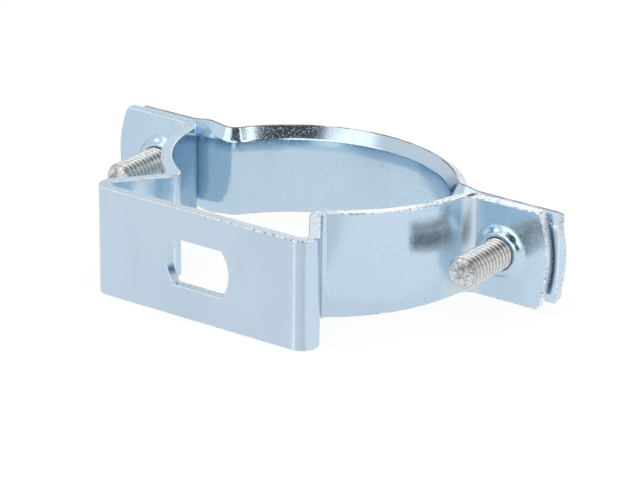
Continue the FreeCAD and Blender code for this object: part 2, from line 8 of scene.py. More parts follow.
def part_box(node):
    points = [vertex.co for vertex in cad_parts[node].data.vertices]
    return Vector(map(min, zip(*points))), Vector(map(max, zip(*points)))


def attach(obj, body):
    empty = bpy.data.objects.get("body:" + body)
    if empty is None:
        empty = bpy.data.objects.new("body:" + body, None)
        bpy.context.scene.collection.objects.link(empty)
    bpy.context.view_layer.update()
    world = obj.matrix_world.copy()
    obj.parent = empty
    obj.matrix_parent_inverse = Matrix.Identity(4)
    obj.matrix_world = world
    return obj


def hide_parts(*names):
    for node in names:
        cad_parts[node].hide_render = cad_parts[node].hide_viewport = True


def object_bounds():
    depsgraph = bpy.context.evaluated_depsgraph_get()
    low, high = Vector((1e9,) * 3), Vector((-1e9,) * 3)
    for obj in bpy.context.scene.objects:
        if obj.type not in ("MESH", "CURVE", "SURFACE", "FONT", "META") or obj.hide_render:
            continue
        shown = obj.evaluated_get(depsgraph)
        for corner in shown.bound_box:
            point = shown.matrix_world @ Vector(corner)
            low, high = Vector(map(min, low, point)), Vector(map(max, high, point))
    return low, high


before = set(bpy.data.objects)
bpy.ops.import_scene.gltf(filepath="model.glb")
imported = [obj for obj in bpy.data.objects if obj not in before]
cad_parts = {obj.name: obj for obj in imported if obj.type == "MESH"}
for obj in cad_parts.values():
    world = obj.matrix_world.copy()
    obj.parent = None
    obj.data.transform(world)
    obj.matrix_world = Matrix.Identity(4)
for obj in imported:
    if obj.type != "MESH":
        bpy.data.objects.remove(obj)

bl_info = {
    "name": "Spacer clamp looks",
    "version": (1, 0, 0),
    "blender": (4, 5, 0),
    "location": "3D View > Sidebar > Clamp",
    "description": "Dresses the packed spacer clamp: plated sheet, rolled screws and a pale studio floor",
    "category": "Object",
}

MM = 0.001
CAD_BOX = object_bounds()
SCREWS = ("left_screw", "right_screw")

# Points this close are one point, faces this flat are one face, and a gap this small is none
JOIN = 0.001 * MM
FLAT = math.radians(0.4)
TOUCH = 0.01 * MM

# How much of a face's normal points along an axis where the face counts as facing that way
FACING_ALONG_PIPE = 0.7
FACING_OUT = 0.6
FACING_SEAT = 0.9

# Edges that are rolled over, by the least angle between their faces in degrees
SHARP = 40.0
SHARP_ON_STRAP = 60.0

# Steps that the round shapes are made in
ROUND_STEPS = 3
CREASE_STEPS = 6
WEB_CUTS = 9
ARC_STEPS = 44
BEND_STEPS = 14
EAR_STEPS = 12
SLOT_STEPS = 10
THREAD_STEPS = 48

# Where the strap's lip is squeezed out at the left and right bend, how far behind the ears, and how wide
SWELLS_X = (-28.4 * MM, 27.0 * MM)
SWELL_BEHIND = 1.5 * MM
SWELL_REACH = 2.2 * MM

# One thread, as shares of the pitch and of the depth from root to crest
THREAD_PROFILE = (
    (0.0, 0.0), (0.08, 0.12), (0.38, 0.88), (0.46, 1.0), (0.54, 1.0), (0.62, 0.88), (0.92, 0.12))

# Patches of the floor as mirrors see it: how much brighter, then a span of bearings and its softness
FLOOR_SHEEN = (
    (0.28, (-30.0, -11.0, 3.0)),
    (-0.09, (-5.0, 29.0, 4.0)),
    (-0.16, (29.0, 54.0, 4.0)),
    (0.10, (57.0, 150.0, 4.0)),
)

# Soft boxes of the light tent: strength, span of bearings in degrees, and span of heights
SOFT_BOXES = {
    "front": (0.9, (-31.0, 10.0, 4.0), (0.08, 0.85, 0.06)),
    "low front": (0.9, (10.0, 41.0, 4.0), (0.08, 0.44, 0.05)),
    "high left": (0.9, (-105.0, -52.0, 6.0), (0.6, 0.9, 0.05)),
    "narrow right": (3.3, (67.0, 71.5, 1.0), (0.08, 0.85, 0.06)),
    "wide right": (1.5, (84.5, 105.0, 2.0), (0.08, 0.85, 0.06)),
    "behind": (0.7, (150.0, -146.0, 4.0), (0.15, 0.5, 0.06)),
}

# Dark gaps of the light tent: how much light is missing, and the same two spans
DARK_GAPS = {
    "opening": (0.91, (11.0, 66.5, 3.0), (0.48, 0.67, 0.04)),
    "top of the opening": (0.91, (-6.0, 66.5, 3.0), (0.67, 0.85, 0.04)),
    "foot of the opening": (0.91, (43.0, 66.5, 3.0), (0.08, 0.48, 0.04)),
    "post": (0.91, (72.0, 83.5, 1.5), (0.08, 0.85, 0.06)),
    "high behind": (0.7, (140.0, -115.0, 8.0), (0.55, 0.85, 0.05)),
}


# Sizes, colours and lights that a user may change
class ClampShape(bpy.types.PropertyGroup):
    """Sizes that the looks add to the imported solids."""

    edge_round: bpy.props.FloatProperty(
        name="Edge rounding", description="How far a sheared edge is rolled over",
        default=0.22 * MM, min=0.02 * MM, max=0.6 * MM, unit="LENGTH", precision=5)
    thread_pitch: bpy.props.FloatProperty(
        name="Thread pitch", description="Distance from one thread to the next",
        default=1.0 * MM, min=0.5 * MM, max=2.0 * MM, unit="LENGTH", precision=5)
    thread_depth: bpy.props.FloatProperty(
        name="Thread depth", description="Height of the thread from root to crest",
        default=0.58 * MM, min=0.1 * MM, max=1.0 * MM, unit="LENGTH", precision=5)
    thread_crest: bpy.props.FloatProperty(
        name="Thread crest", description="Radius at which the thread is bright, over its crests",
        default=2.95 * MM, min=1.0 * MM, max=6.0 * MM, unit="LENGTH", precision=5)
    screw_length: bpy.props.FloatProperty(
        name="Screw length", description="Length of the screw under its head",
        default=16.6 * MM, min=8.0 * MM, max=30.0 * MM, unit="LENGTH", precision=5)
    screw_sunk: bpy.props.FloatProperty(
        name="Screw sunk", description="How far the threaded shank reaches into the head",
        default=0.3 * MM, min=0.1 * MM, max=2.0 * MM, unit="LENGTH", precision=5)
    tip_bevel: bpy.props.FloatProperty(
        name="Tip bevel", description="How far the screw's tip is bevelled",
        default=0.7 * MM, min=0.1 * MM, max=2.0 * MM, unit="LENGTH", precision=5)
    collar_height: bpy.props.FloatProperty(
        name="Collar height", description="How far a threaded collar stands out of its ear",
        default=1.1 * MM, min=0.2 * MM, max=3.0 * MM, unit="LENGTH", precision=5)
    collar_crest: bpy.props.FloatProperty(
        name="Collar crest", description="Radius at which the collar's flat top ends",
        default=3.45 * MM, min=3.0 * MM, max=5.0 * MM, unit="LENGTH", precision=5)
    collar_foot: bpy.props.FloatProperty(
        name="Collar foot", description="Radius at which the solid's collar runs out into the ear",
        default=5.08 * MM, min=4.0 * MM, max=8.0 * MM, unit="LENGTH", precision=5)
    collar_spread: bpy.props.FloatProperty(
        name="Collar spread", description="Radius that the collar's foot is drawn out to",
        default=5.5 * MM, min=4.0 * MM, max=8.0 * MM, unit="LENGTH", precision=5)
    head_round: bpy.props.FloatProperty(
        name="Head rounding", description="How far the edges of a screw's head are rounded",
        default=0.15 * MM, min=0.02 * MM, max=0.5 * MM, unit="LENGTH", precision=5)


class StrapShape(bpy.types.PropertyGroup):
    """Sizes of the strap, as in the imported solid, and of what forming leaves on it."""

    thickness: bpy.props.FloatProperty(
        name="Thickness", description="Thickness of the sheet",
        default=2.0 * MM, unit="LENGTH", precision=5)
    width: bpy.props.FloatProperty(
        name="Width", description="Width over both turned edges",
        default=17.3 * MM, unit="LENGTH", precision=5)
    web_width: bpy.props.FloatProperty(
        name="Web width", description="Width of the flat web inside",
        default=12.309 * MM, unit="LENGTH", precision=5)
    flare: bpy.props.FloatProperty(
        name="Flare", description="Angle that the edges are turned outwards by",
        default=math.radians(31.0), subtype="ANGLE")
    radius: bpy.props.FloatProperty(
        name="Radius", description="Inside radius of the arc",
        default=27.7 * MM, unit="LENGTH", precision=5)
    sink: bpy.props.FloatProperty(
        name="Sink", description="How far the arc's centre lies in front of the ears",
        default=14.1 * MM, unit="LENGTH", precision=5)
    bend: bpy.props.FloatProperty(
        name="Ear bend", description="Inside radius of the bend at an ear",
        default=2.5 * MM, unit="LENGTH", precision=5)
    end_radius: bpy.props.FloatProperty(
        name="Ear end radius", description="Radius of an ear's rounded end",
        default=22.0 * MM, unit="LENGTH", precision=5)
    slot_width: bpy.props.FloatProperty(
        name="Slot width", description="Width of the slots for the screws",
        default=6.6 * MM, unit="LENGTH", precision=5)
    slot_length: bpy.props.FloatProperty(
        name="Slot length", description="Length of the slots for the screws",
        default=10.0 * MM, unit="LENGTH", precision=5)
    crease: bpy.props.FloatProperty(
        name="Crease", description="How far the crease of the flare is rounded to each side",
        default=0.22 * MM, unit="LENGTH", precision=5)
    crease_shift: bpy.props.FloatProperty(
        name="Crease shift", description="How far outside the solid's crease the rounded one lies",
        default=0.15 * MM, unit="LENGTH", precision=5)
    bow: bpy.props.FloatProperty(
        name="Bow", description="Angle that the web is drawn outwards by next to the crease",
        default=math.radians(8.0), subtype="ANGLE")
    bow_reach: bpy.props.FloatProperty(
        name="Bow reach", description="How far from the crease the web starts to be drawn outwards",
        default=1.3 * MM, unit="LENGTH", precision=5)
    bulge: bpy.props.FloatProperty(
        name="Bulge", description="How far the turned edge is squeezed out at an ear's bend",
        default=0.55 * MM, unit="LENGTH", precision=5)


class ClampFinish(bpy.types.PropertyGroup):
    """Colours, gloss and grain of the metal."""

    plating: bpy.props.FloatVectorProperty(
        name="Plating", description="Pale blue of the passivated zinc",
        default=(0.535, 0.645, 0.76), size=3, min=0.0, max=1.0, subtype="COLOR")
    plating_deep: bpy.props.FloatVectorProperty(
        name="Deep plating", description="Bluer tone where the passivation is thicker",
        default=(0.503, 0.654, 0.776), size=3, min=0.0, max=1.0, subtype="COLOR")
    dulled: bpy.props.FloatVectorProperty(
        name="Dulled plating", description="Greyer tone of the faint clouds in the plating",
        default=(0.46, 0.57, 0.67), size=3, min=0.0, max=1.0, subtype="COLOR")
    stretched: bpy.props.FloatVectorProperty(
        name="Stretched plating", description="Paler, duller plating where the saddle is bent into its ears",
        default=(0.70, 0.81, 0.88), size=3, min=0.0, max=1.0, subtype="COLOR")
    # Painted light: a paler tone that stands in for the light in the hollow of the folded foot
    painted_hollow_light: bpy.props.FloatVectorProperty(
        name="Folded plating", description="Paler plating in the hollow of the folded foot",
        default=(0.69, 0.83, 0.91), size=3, min=0.0, max=1.0, subtype="COLOR")
    # Painted shade: the colour of a dark line that stands in for the shadow in the gap where the ears press
    # together
    seat_shade: bpy.props.FloatVectorProperty(
        name="Seat", description="Tarnish along the line where the ears press together",
        default=(0.06, 0.10, 0.16), size=3, min=0.0, max=1.0, subtype="COLOR")
    sheared: bpy.props.FloatVectorProperty(
        name="Sheared edge", description="Bare, brighter metal of the cut edges",
        default=(0.60, 0.685, 0.765), size=3, min=0.0, max=1.0, subtype="COLOR")
    # Painted highlight: near-white on the saddle's cut edges where they catch the light
    painted_edge_highlight: bpy.props.FloatVectorProperty(
        name="Burnished edge", description="White metal where the cut is smoothest",
        default=(0.96, 0.97, 0.98), size=3, min=0.0, max=1.0, subtype="COLOR")
    # Painted glints: near-white specks on the torn grains of the cut edges
    glint_speck: bpy.props.FloatVectorProperty(
        name="Edge speck", description="Bright specks in the hollows of a torn edge",
        default=(0.92, 0.94, 0.96), size=3, min=0.0, max=1.0, subtype="COLOR")
    stain: bpy.props.FloatVectorProperty(
        name="Edge stain", description="Dark stain in the roughest parts of a cut edge",
        default=(0.21, 0.195, 0.2), size=3, min=0.0, max=1.0, subtype="COLOR")
    # Painted reflection: a near-black spot that stands in for the dark opening mirrored at the right ear's
    # bend
    painted_dark_spot: bpy.props.FloatVectorProperty(
        name="Nick", description="Dark nick in the cut edge of the right ear's bend",
        default=(0.02, 0.02, 0.03), size=3, min=0.0, max=1.0, subtype="COLOR")
    lip: bpy.props.FloatVectorProperty(
        name="Lip edge", description="Worn, brownish edge of the strap's turned lips",
        default=(0.15, 0.13, 0.13), size=3, min=0.0, max=1.0, subtype="COLOR")
    screw: bpy.props.FloatVectorProperty(
        name="Screw", description="Neutral silver of the screws",
        default=(0.74, 0.752, 0.758), size=3, min=0.0, max=1.0, subtype="COLOR")
    screw_grain: bpy.props.FloatVectorProperty(
        name="Screw grain", description="Dark grain and dull patches of the screws",
        default=(0.2, 0.21, 0.21), size=3, min=0.0, max=1.0, subtype="COLOR")
    # Painted shade: a darker tone that stands in for the shade in the thread's grooves
    thread_groove_shade: bpy.props.FloatVectorProperty(
        name="Thread root", description="Dull metal at the bottom of the thread",
        default=(0.44, 0.447, 0.447), size=3, min=0.0, max=1.0, subtype="COLOR")
    gloss: bpy.props.FloatProperty(
        name="Plating roughness", description="Roughness of the plated faces",
        default=0.15, min=0.0, max=1.0, subtype="FACTOR")
    edge_gloss: bpy.props.FloatProperty(
        name="Edge roughness", description="Roughness of the cut edges",
        default=0.26, min=0.0, max=1.0, subtype="FACTOR")
    edge_metal: bpy.props.FloatProperty(
        name="Edge metal", description="How far a cut edge shines as metal does",
        default=0.85, min=0.0, max=1.0, subtype="FACTOR")
    screw_gloss: bpy.props.FloatProperty(
        name="Screw roughness", description="Roughness of the screws",
        default=0.25, min=0.0, max=1.0, subtype="FACTOR")
    plating_relief: bpy.props.FloatProperty(
        name="Plating relief", description="Depth of the plating's grain and waves",
        default=0.015 * MM, min=0.0, max=0.2 * MM, unit="LENGTH", precision=6)
    edge_relief: bpy.props.FloatProperty(
        name="Edge relief", description="Depth of the grain on a cut edge",
        default=0.03 * MM, min=0.0, max=0.2 * MM, unit="LENGTH", precision=6)
    screw_relief: bpy.props.FloatProperty(
        name="Screw relief", description="Depth of the grain on a screw",
        default=0.02 * MM, min=0.0, max=0.2 * MM, unit="LENGTH", precision=6)


class ClampStage(bpy.types.PropertyGroup):
    """Floor, light and camera."""

    floor: bpy.props.FloatVectorProperty(
        name="Floor", description="Colour of the floor",
        default=(1.0, 1.0, 1.0), size=3, min=0.0, max=1.0, subtype="COLOR")
    floor_size: bpy.props.FloatProperty(
        name="Floor size", description="How far the floor reaches to each side",
        default=4.0, min=0.5, max=20.0, unit="LENGTH")
    floor_glow: bpy.props.FloatProperty(
        name="Floor glow", description="Share of plain white in the floor as the camera sees it",
        default=0.93, min=0.0, max=1.0, subtype="FACTOR")
    mirror_glow: bpy.props.FloatProperty(
        name="Mirrored glow", description="The same share as the metal mirrors it",
        default=0.92, min=0.0, max=1.0, subtype="FACTOR")
    sheen_place: bpy.props.FloatVectorProperty(
        name="Sheen place", description="Where the patches of the floor meet, from the middle of the foot",
        default=(21.0 * MM, 2.0 * MM), size=2, subtype="TRANSLATION", unit="LENGTH")
    sky: bpy.props.FloatProperty(
        name="Sky", description="Strength of the even light from all round",
        default=0.9, min=0.0, max=4.0)
    top: bpy.props.FloatProperty(
        name="Top light", description="Strength of the added light from straight above",
        default=0.8, min=0.0, max=4.0)
    eye: bpy.props.FloatVectorProperty(
        name="Camera place", description="Where the camera stands",
        default=(0.328586, -0.425613, 0.220336), size=3, subtype="TRANSLATION", unit="LENGTH")
    aim: bpy.props.FloatVectorProperty(
        name="Camera aim", description="The point at the middle of the picture",
        default=(0.005571, 0.028270, -0.002489), size=3, subtype="TRANSLATION", unit="LENGTH")
    roll: bpy.props.FloatProperty(
        name="Camera roll", description="Turn of the camera about its own line of sight",
        default=math.radians(0.575), subtype="ANGLE")
    lens: bpy.props.FloatProperty(
        name="Lens", description="Focal length in millimetres",
        default=191.44, min=10.0, max=400.0)
    sensor: bpy.props.FloatProperty(
        name="Sensor width", description="Width of the camera's sensor in millimetres",
        default=36.0, min=5.0, max=100.0)


# Shader maths
class Value:
    """A number in a material: arithmetic on it adds Math nodes."""

    def __init__(self, nodes, socket):
        self.nodes = nodes
        self.socket = socket

    def math(self, operation, *terms):
        """One Math node on these terms."""
        return self.nodes.add("ShaderNodeMath", {"operation": operation}, dict(enumerate(terms)))

    def __add__(self, other):
        return self.math("ADD", self, other)

    def __radd__(self, other):
        return self.math("ADD", other, self)

    def __sub__(self, other):
        return self.math("SUBTRACT", self, other)

    def __rsub__(self, other):
        return self.math("SUBTRACT", other, self)

    def __mul__(self, other):
        return self.math("MULTIPLY", self, other)

    def __rmul__(self, other):
        return self.math("MULTIPLY", other, self)

    def size(self):
        """The number without its sign."""
        return self.math("ABSOLUTE", self)

    def most(self, other):
        """The larger of two numbers."""
        return self.math("MAXIMUM", self, other)

    def reach(self, other):
        """How far out a point lies whose two coordinates these are."""
        return self.math("SQRT", self * self + other * other)

    def bearing(self, ahead):
        """The angle from straight ahead to a point this far to the side, in degrees."""
        return self.math("ARCTAN2", self, ahead) * math.degrees(1.0)

    def between(self, low, high):
        """0 below low, 1 above high, and smooth from one to the other."""
        limits = {"Value": self, "From Min": low, "From Max": high}
        return self.nodes.add("ShaderNodeMapRange", {"interpolation_type": "SMOOTHSTEP"}, limits, "Result")

    def until(self, low, high):
        """1 below low, 0 above high, and smooth from one to the other."""
        return 1.0 - self.between(low, high)

    def inside(self, low, high, soft):
        """1 from low to high and 0 elsewhere, with soft edges."""
        return self.between(low - soft, low + soft) * self.until(high - soft, high + soft)


class Nodes:
    """The nodes of one material or world."""

    def __init__(self, owner):
        owner.use_nodes = True
        self.tree = owner.node_tree
        self.tree.nodes.clear()

    def add(self, kind, settings=None, inputs=None, output=0):
        """One node of that type, with its settings first and then its sockets' values or links."""
        node = self.tree.nodes.new(kind)
        for name, item in (settings or {}).items():
            setattr(node, name, item)
        for name, item in (inputs or {}).items():
            if isinstance(item, Value):
                self.tree.links.new(item.socket, node.inputs[name])
            else:
                node.inputs[name].default_value = item
        return Value(self, node.outputs[output]) if node.outputs else None

    def place(self):
        """The point of the piece that is being coloured."""
        return self.add("ShaderNodeTexCoord", output="Object")

    def along(self, where, axes):
        """The coordinates of a point along the named axes."""
        return [self.add("ShaderNodeSeparateXYZ", inputs={0: where}, output=axis) for axis in axes]

    def noise(self, where, scale, detail, roughness):
        """Cloudy noise from 0 to 1."""
        return self.add("ShaderNodeTexNoise", inputs={
            "Vector": where, "Scale": scale, "Detail": detail, "Roughness": roughness})

    def scaled(self, where, scale):
        """The point with its three coordinates multiplied."""
        return self.add("ShaderNodeMapping", inputs={"Vector": where, "Scale": scale})

    def mix(self, factor, first, second):
        """One colour over another."""
        return self.add("ShaderNodeMix", {"data_type": "RGBA"}, {0: factor, 6: first, 7: second}, output=2)

    def metal(self, tone, roughness, metallic, height, relief):
        """The finished surface: metal of that tone, with a grain of that height."""
        bump = self.add("ShaderNodeBump", inputs={"Strength": 1.0, "Distance": relief, "Height": height})
        shader = self.add("ShaderNodeBsdfPrincipled", inputs={
            "Base Color": tone, "Metallic": metallic, "Roughness": roughness, "Normal": bump})
        self.add("ShaderNodeOutputMaterial", inputs={"Surface": shader})


# Finishes of the metal
def colour(rgb):
    """A colour as a socket takes it."""
    return (*rgb, 1.0)


def stretched_bend(nodes, where):
    """Where the saddle's sheet was stretched: the outside of the bends from its arcs into its ears."""
    x, y = nodes.along(where, "XY")
    ear_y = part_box("saddle")[1].y
    outside_arc = x.reach(y - ear_y).between(29.0 * MM, 29.8 * MM)
    up_the_arc = y.between(ear_y - 10 * MM, ear_y - 3 * MM)
    before_ear = y.until(ear_y - 1.2 * MM, ear_y - 0.4 * MM)
    short_of_ear = x.size().until(31.5 * MM, 34 * MM)
    return outside_arc * up_the_arc * before_ear * short_of_ear


def plating(nodes, where, tone, finish):
    """The surface of zinc plate: fine grain, rolling marks and a slow waviness under the gloss."""
    grain = nodes.noise(where, scale=3600.0, detail=3.0, roughness=0.7)
    pits = grain.between(0.6, 0.7)
    waves = nodes.noise(where, scale=110.0, detail=2.0, roughness=0.5)
    along_strip = nodes.scaled(where, (60.0, 60.0, 1400.0))
    rolling = nodes.noise(along_strip, scale=1.0, detail=3.0, roughness=0.6)
    height = grain * 0.5 + pits * 1.3 + rolling * 0.2 + waves * 3.0
    stretched = stretched_bend(nodes, where)
    tone = nodes.mix(stretched * 0.8, tone, colour(finish.stretched))
    roughness = finish.gloss + 0.10 * (grain - 0.5) + 0.06 * (rolling - 0.5) + 0.22 * stretched
    nodes.metal(tone, roughness, 1.0, height, finish.plating_relief)


def painted_light_in_foot_hollow(nodes, where):
    """Where painted light falls in the hollow of the folded foot: less of it, as painted shade, in its folds
    and in a band before the necks.
    """
    x, y = nodes.along(where, "XY")
    off_base = y.between(1.7 * MM, 2 * MM)
    before_neck = y.until(12 * MM, 14 * MM)
    leg_lean = math.tan(math.radians(35.0))
    between_legs = (x.size() + leg_lean * y).until(23.5 * MM, 24 * MM)
    # Painted shade in the folds and in a band before the necks, where the painted light is weaker
    fold = y.between(2.2 * MM, 2.6 * MM) * y.until(4 * MM, 8 * MM)
    band_shade = y.inside(9.6 * MM, 10.8 * MM, soft=0.5 * MM)
    return off_base * before_neck * between_legs * (1.0 - 0.45 * fold - 0.7 * band_shade)


def clouded_tone(nodes, where, finish):
    """Blue passivation that is thicker towards the pipe, and a little uneven."""
    y, z = nodes.along(where, "YZ")
    cloud = nodes.noise(where, scale=28.0, detail=3.0, roughness=0.55)
    off_wall = y.between(0.5 * MM, 2 * MM)
    near_pipe = y.between(16 * MM, 42 * MM)
    lip = y.between(40 * MM, 41 * MM) * z.size().between(6.2 * MM, 6.8 * MM)
    depth = 0.35 * off_wall + 0.65 * near_pipe + 0.35 * (cloud - 0.5) - lip
    along_pipe = nodes.scaled(where, (90.0, 90.0, 35.0))
    dulled = nodes.noise(along_pipe, scale=1.0, detail=2.0, roughness=0.5).between(0.42, 0.68)
    tone = nodes.mix(depth, colour(finish.plating), colour(finish.plating_deep))
    tone = nodes.mix(dulled * 0.35, tone, colour(finish.dulled))
    # Painted light in the foot's hollow, laid over the plating's tone
    return nodes.mix(painted_light_in_foot_hollow(nodes, where), tone, colour(finish.painted_hollow_light))


def plated_sheet(nodes, where, finish):
    """Blue-passivated zinc on rolled sheet."""
    plating(nodes, where, clouded_tone(nodes, where, finish), finish)


def ear_plating_with_seat_shade(nodes, where, finish):
    """The strap's ears where they press on the saddle's: plated, with painted shade as a dark line round
    where the ears meet.
    """
    x, z = nodes.along(where, "XZ")
    end_radius = bpy.context.scene.clamp_strap.end_radius
    end_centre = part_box("saddle")[1].x - end_radius
    past_end = (x.size() - end_centre).reach(z) - end_radius
    # Painted shade along the ears' rounded ends, where the gap between them lies in shadow, fading towards
    # the top and bottom
    line = past_end.between(-0.7 * MM, 0.0) * past_end.until(0.25 * MM, 0.85 * MM)
    shade_fading = 0.7 * z.size().between(4.5 * MM, 8 * MM)
    tone = nodes.mix(line * (1.0 - shade_fading), clouded_tone(nodes, where, finish), colour(finish.seat_shade))
    plating(nodes, where, tone, finish)


def right_half(nodes, where):
    """0 on the left of the part, 1 on its right, and smooth between."""
    return nodes.along(where, "X")[0].between(-22 * MM, 4 * MM)


def speckled(nodes, where, tone, torn, finish):
    """Torn metal: painted glints as bright specks in its hollows, and stains on its high grains."""
    grain = nodes.noise(where, scale=2300.0, detail=2.0, roughness=0.7)
    specks = grain.until(0.34, 0.46) * torn
    stains = grain.between(0.52, 0.62) * torn
    tone = nodes.mix(specks, tone, colour(finish.glint_speck))
    tone = nodes.mix(stains, tone, colour(finish.stain))
    nodes.metal(tone, finish.edge_gloss + 0.2 * stains, finish.edge_metal, grain, finish.edge_relief)


def sheared_edge(nodes, where, finish):
    """Cut faces of the sheet: paler, a little rough, and speckled in places, with painted highlights and a
    painted dark spot along the saddle's edge.
    """
    x, y = nodes.along(where, "XY")
    right = right_half(nodes, where)
    past_foot = y.between(11 * MM, 14 * MM)
    on_saddle = past_foot * y.until(39.2 * MM, 39.6 * MM)
    # Painted highlights along the saddle's cut edge, with fewer torn specks under them
    highlight_on_arc = x.inside(18 * MM, 26.5 * MM, soft=1 * MM)
    highlight_on_bend = x.inside(29.5 * MM, 30.3 * MM, soft=0.2 * MM)
    highlight_on_ear = x.between(31 * MM, 33 * MM)
    painted_edge_highlight = on_saddle * (highlight_on_arc + highlight_on_bend + 0.6 * highlight_on_ear)
    rough_spot = on_saddle * x.inside(18.3 * MM, 20.3 * MM, soft=0.4 * MM)
    # Painted dark spot where the right ear's bend mirrors the dark opening
    painted_dark_spot = on_saddle * x.inside(30.4 * MM, 31.4 * MM, soft=0.2 * MM)
    ear_ends = x.size().between(43.5 * MM, 44.5 * MM)
    tone = nodes.mix(right, colour(finish.plating_deep), colour(finish.sheared))
    tone = nodes.mix(painted_edge_highlight * 0.9, tone, colour(finish.painted_edge_highlight))
    tone = nodes.mix(painted_dark_spot, tone, colour(finish.painted_dark_spot))
    patches = nodes.noise(where, scale=150.0, detail=3.0, roughness=0.65).between(0.36, 0.52)
    torn = patches * (0.25 + 0.75 * right) * (0.4 + 0.6 * past_foot)
    torn = torn * (1.0 - 0.5 * painted_edge_highlight) * (1.0 - 0.5 * ear_ends)
    speckled(nodes, where, tone, torn.most(rough_spot) * (1.0 - painted_dark_spot), finish)


def rolled_edge(nodes, where, finish):
    """The saddle's rolled-over edges: bright and speckled."""
    x, y, z = nodes.along(where, "XYZ")
    on_base = y.until(3 * MM, 4 * MM)
    round_hole = on_base * x.reach(z).until(7.5 * MM, 8.5 * MM)
    patches = nodes.noise(where, scale=260.0, detail=2.0, roughness=0.6).between(0.3, 0.46)
    calm = 0.3 * on_base * x.until(2 * MM, 14 * MM) + 0.65 * round_hole
    torn = patches * (0.3 + 0.7 * right_half(nodes, where)) * (1.0 - calm)
    speckled(nodes, where, colour(finish.sheared), torn, finish)


def lip_edge(nodes, where, finish):
    """The edges of the strap's turned lips: worn and brownish."""
    worn = nodes.noise(where, scale=200.0, detail=3.0, roughness=0.6)
    tone = nodes.mix(worn.between(0.45, 0.75), colour(finish.lip), colour(finish.sheared))
    speckled(nodes, where, tone, worn * 0.5, finish)


def rolled_screw(nodes, where, finish):
    """Bright rolled steel, with painted shade between the threads, and grainy on the cut tip."""
    shape = bpy.context.scene.clamp_shape
    x, y, z = nodes.along(where, "XYZ")
    tip_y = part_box("right_screw")[0].y
    seat_y = tip_y + shape.screw_length
    reach = (x.size() - screw_axes()[1]).reach(z)
    half_up = shape.thread_crest - 0.5 * shape.thread_depth
    near_crest = shape.thread_crest - 0.06 * shape.thread_depth
    # Painted shade on the thread's flanks and roots, below its crests
    groove_shade = reach.until(half_up, near_crest)
    past_tip = y.between(tip_y + 0.2 * MM, tip_y + 0.5 * MM)
    threaded = past_tip * y.until(seat_y - 0.2 * MM, seat_y)
    grain = nodes.noise(where, scale=2600.0, detail=3.0, roughness=0.7)
    dull = nodes.noise(where, scale=420.0, detail=2.0, roughness=0.6).between(0.45, 0.7)
    specks = grain.between(0.48, 0.62) * (1.0 - 0.8 * past_tip + 0.25 * threaded)
    dark = dull * (0.65 - 0.45 * past_tip) + specks * (0.65 + 0.2 * past_tip)
    tone = nodes.mix(dark, colour(finish.screw), colour(finish.screw_grain))
    tone = nodes.mix(groove_shade * threaded, tone, colour(finish.thread_groove_shade))
    nodes.metal(tone, finish.screw_gloss + 0.1 * dull, 1.0, grain, finish.screw_relief)


def finishes(*makers):
    """A piece's materials, each named as its maker is and made the first time that it is asked for."""
    found = []
    for maker in makers:
        material = bpy.data.materials.get(maker.__name__)
        if material is None:
            material = bpy.data.materials.new(maker.__name__)
            nodes = Nodes(material)
            maker(nodes, nodes.place(), bpy.context.scene.clamp_finish)
        found.append(material)
    return found


# Shaping and handing over
def shaped_copy(node):
    """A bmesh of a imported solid, with its loose triangles joined and its flat faces whole."""
    bm = bmesh.new()
    bm.from_mesh(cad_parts[node].data)
    bmesh.ops.remove_doubles(bm, verts=bm.verts, dist=JOIN)
    bmesh.ops.dissolve_limit(bm, angle_limit=FLAT, verts=bm.verts, edges=bm.edges)
    return bm


def only(geom, kind):
    """The items of one kind among mixed geometry."""
    return [item for item in geom if isinstance(item, kind)]


def round_edges(bm, edges, sharp, offset):
    """Round those of the edges whose faces meet at more than that angle in degrees."""
    chosen = [e for e in edges if len(e.link_faces) == 2 and e.calc_face_angle(0.0) > math.radians(sharp)]
    made = bmesh.ops.bevel(bm, geom=chosen, offset=offset, offset_type="OFFSET", segments=ROUND_STEPS,
                           profile=0.5, affect="EDGES", clamp_overlap=False, material=-1)
    return made["faces"]


def new_object(name, bm):
    """An object in the scene from a bmesh, which is used up."""
    mesh = bpy.data.meshes.new(name)
    bm.to_mesh(mesh)
    bm.free()
    made = bpy.data.objects.new(name, mesh)
    bpy.context.scene.collection.objects.link(made)
    return made


def finished_piece(name, bm, materials, body, node):
    """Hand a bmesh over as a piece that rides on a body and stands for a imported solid."""
    for face in bm.faces:
        face.smooth = True
    piece = new_object(name, bm)
    for material in materials:
        piece.data.materials.append(material)
    even = piece.modifiers.new("even_normals", "WEIGHTED_NORMAL")
    even.weight = 100
    even.keep_sharp = True
    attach(piece, body)
    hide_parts(node)


# Saddle
def screw_axes():
    """Where the axes of the left and the right screw lie along X."""
    screws = [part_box(node) for node in SCREWS]
    return [(low.x + high.x) / 2 for low, high in screws]


def soften_collars(bm, shape, axes):
    """Draw the flank of each threaded collar out into an even slope with a wide foot."""
    ear_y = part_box("saddle")[1].y - bpy.context.scene.clamp_strap.thickness
    flank = shape.collar_foot - shape.collar_crest
    widening = shape.collar_spread - shape.collar_foot
    for vert in bm.verts:
        axis_x = min(axes, key=lambda x: abs(vert.co.x - x))
        reach = math.hypot(vert.co.x - axis_x, vert.co.z)
        share = (reach - shape.collar_crest) / flank
        if vert.co.y < ear_y + TOUCH and 0.0 < share < 1.05:
            share = min(share, 1.0)
            vert.co.y = ear_y - shape.collar_height * (1.0 - share * share * (3.0 - 2.0 * share))
            drawn = 1.0 + widening * share ** 6 / reach
            vert.co.x = axis_x + (vert.co.x - axis_x) * drawn
            vert.co.z *= drawn


